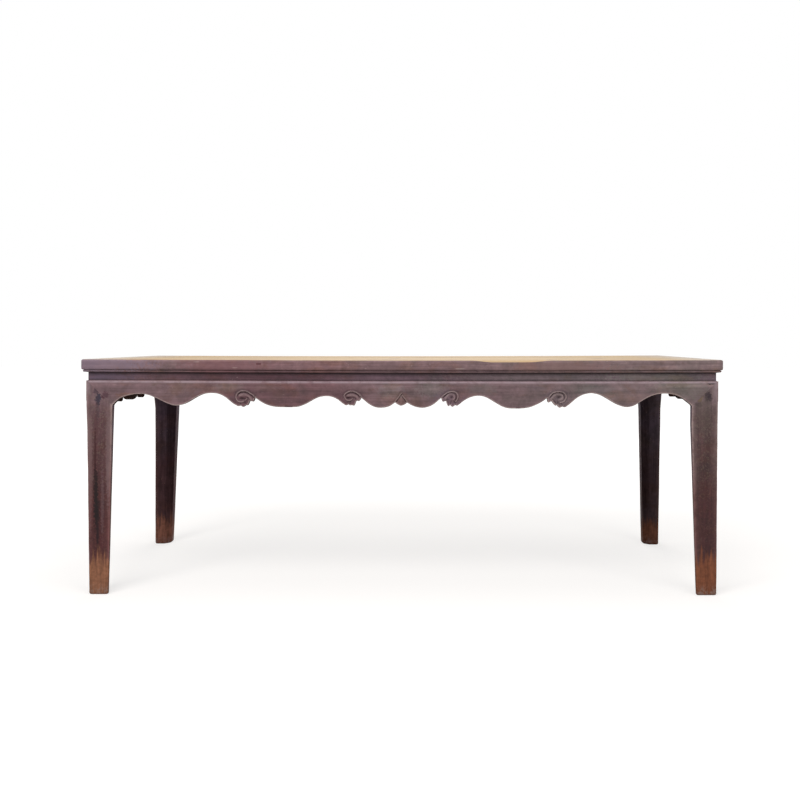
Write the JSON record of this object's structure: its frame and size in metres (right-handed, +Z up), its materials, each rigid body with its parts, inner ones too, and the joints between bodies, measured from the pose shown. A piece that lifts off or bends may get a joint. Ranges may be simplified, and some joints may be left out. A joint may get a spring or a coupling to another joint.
{
  "type": "dining table",
  "caption": "Long waisted dining table with a framed board top, scalloped aprons with carved scrolls, and tapering corner legs, in worn dark lacquer.",
  "frame": {"origin": "on the floor, under the middle of the table top", "axes": "+X along the table to the right seen from the front, +Y from the front to the back, +Z up"},
  "size_m": [2.286, 1.01, 0.838],
  "materials": {
    "lacquered_wood": "worn purplish brown lacquer, satin",
    "bare_wood": "bare pale wood, worn matte",
    "inner_wood": "unfinished brown wood"
  },
  "bodies": {
    "root": {"rail_front": "lacquered_wood", "rail_back": "lacquered_wood", "rail_left": "lacquered_wood", "rail_right": "lacquered_wood", "board_1": "bare_wood", "board_2": "bare_wood", "board_3": "bare_wood", "board_4": "bare_wood", "batten_1": "inner_wood", "batten_2": "inner_wood", "batten_3": "inner_wood", "batten_4": "inner_wood", "waist_front": "lacquered_wood", "waist_back": "lacquered_wood", "waist_left": "lacquered_wood", "waist_right": "lacquered_wood", "apron_front": "lacquered_wood", "apron_back": "lacquered_wood", "apron_left": "lacquered_wood", "apron_right": "lacquered_wood", "leg_front_left": "lacquered_wood", "leg_front_right": "lacquered_wood", "leg_back_left": "lacquered_wood", "leg_back_right": "lacquered_wood", "keys_front": "inner_wood", "keys_back": "inner_wood", "key_left": "inner_wood", "key_right": "inner_wood", "frame_pegs": "inner_wood"}
  },
  "joints": []
}
